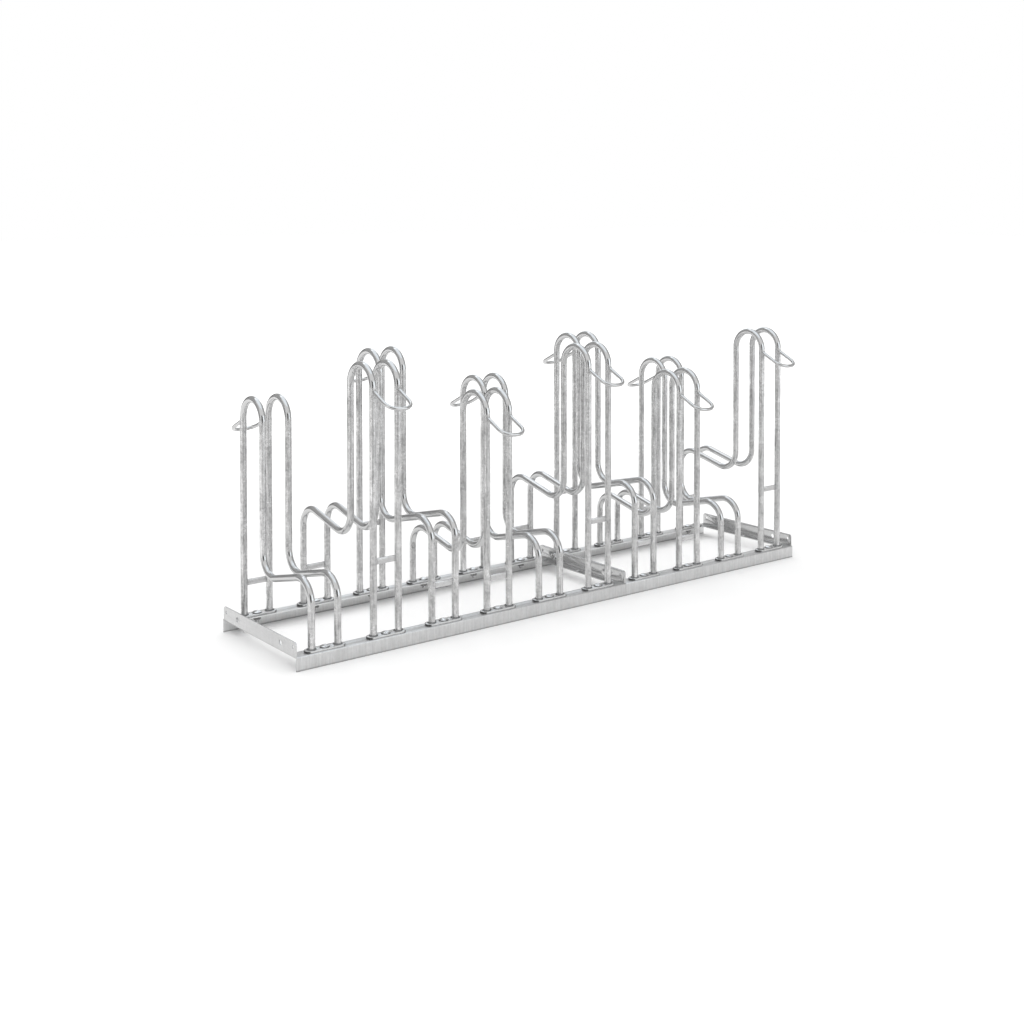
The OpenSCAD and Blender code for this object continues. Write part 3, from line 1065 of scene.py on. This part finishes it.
half = studio["floorSize"] / 2
corners = [(-half, -half, 0), (half, -half, 0), (half, half, 0), (-half, half, 0)]
floorMesh = bpy.data.meshes.new("studioFloor")
floorMesh.from_pydata(corners, [], [(0, 1, 2, 3)])
floor = bpy.data.objects.new("studioFloor", floorMesh)
bpy.context.collection.objects.link(floor)
floorMaterial, tree = newMaterial("studioFloor")
tone = studio["floorTone"]
paint = addNode(tree, "ShaderNodeBsdfDiffuse", {"Color": (tone, tone, tone, 1)})
# Away from the rack, where the lamps fall off, the floor's own glow keeps it white
spot = addNode(tree, "ShaderNodeTexCoord").outputs["Object"]
away = addNode(tree, "ShaderNodeVectorMath", {0: spot}, operation="LENGTH").outputs["Value"]
outside = rangeNode(tree, away, studio["glowStart"], studio["glowEnd"], 0.0, studio["floorGlow"],
                    interpolation_type="SMOOTHSTEP")
# Painted light: the floor between the rails glows too, where the hoops keep some light away
sides = addNode(tree, "ShaderNodeSeparateXYZ", {0: spot})
inside = studio["innerPaintedLight"]
for axis, reach, soft in zip("XY", studio["innerReach"], studio["innerSoft"]):
    across = mathNode(tree, "ABSOLUTE", sides.outputs[axis])
    edge = rangeNode(tree, across, reach, reach + soft, 1.0, 0.0)
    inside = mathNode(tree, "MULTIPLY", edge, inside)
strength = mathNode(tree, "MULTIPLY", seenRays(tree), mathNode(tree, "ADD", outside, inside))
glow = addNode(tree, "ShaderNodeEmission", {"Color": white, "Strength": strength})
both = addNode(tree, "ShaderNodeAddShader", {0: paint.outputs[0], 1: glow.outputs[0]})
addNode(tree, "ShaderNodeOutputMaterial", {"Surface": both.outputs[0]})
floorMesh.materials.append(floorMaterial)
floor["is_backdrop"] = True

world = bpy.data.worlds.new("studioWorld")
world.use_nodes = True
bpy.context.scene.world = world
tree = world.node_tree
tree.nodes.clear()
light = addNode(tree, "ShaderNodeBackground", {"Color": white, "Strength": studio["roomLight"]})
backdrop = addNode(tree, "ShaderNodeBackground", {"Color": white, "Strength": studio["backdrop"]})
choice = addNode(tree, "ShaderNodeMixShader", {
    0: seenRays(tree), 1: light.outputs[0], 2: backdrop.outputs[0]})
addNode(tree, "ShaderNodeOutputWorld", {"Surface": choice.outputs[0]})

for name, lamp in lamps.items():
    softLamp(name, **lamp)
for index, (name, card) in enumerate(cards.items()):
    reflectionCard(name, room["radius"] - room["gap"] * index, *card)
# A painted reflection: a grey card just above the floor in front, which only the metal sees
near, far, wide, high = (floorCard[key] for key in ("nearEdge", "farEdge", "halfWidth", "gap"))
corners = [(-wide, far, high), (wide, far, high), (wide, near, high), (-wide, near, high)]
hangCard("frontFloor", corners, [(0, 1, 2, 3)], floorCard["tone"])

lens = {
    "length": 49.746,
    "sensor": 36.0,
    "place": (-2.4951, -3.1440, 1.1383),
    "yaw": -37.523,
    "pitch": -1.737,
    "shift": -0.27,
    "farClip": 200,
}
camera = bpy.data.cameras.new("rackCamera")
camera.lens = lens["length"]
camera.sensor_width = lens["sensor"]
camera.shift_y = lens["shift"]
camera.clip_end = lens["farClip"]
cameraHolder = bpy.data.objects.new("rackCamera", camera)
cameraHolder.location = lens["place"]
cameraHolder.rotation_euler = (math.radians(90 + lens["pitch"]), 0, math.radians(lens["yaw"]))
bpy.context.collection.objects.link(cameraHolder)
scene = bpy.context.scene
scene.camera = cameraHolder
scene.view_settings.view_transform = "Standard"
report("studio ready")

low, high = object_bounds()
report("sizes written")
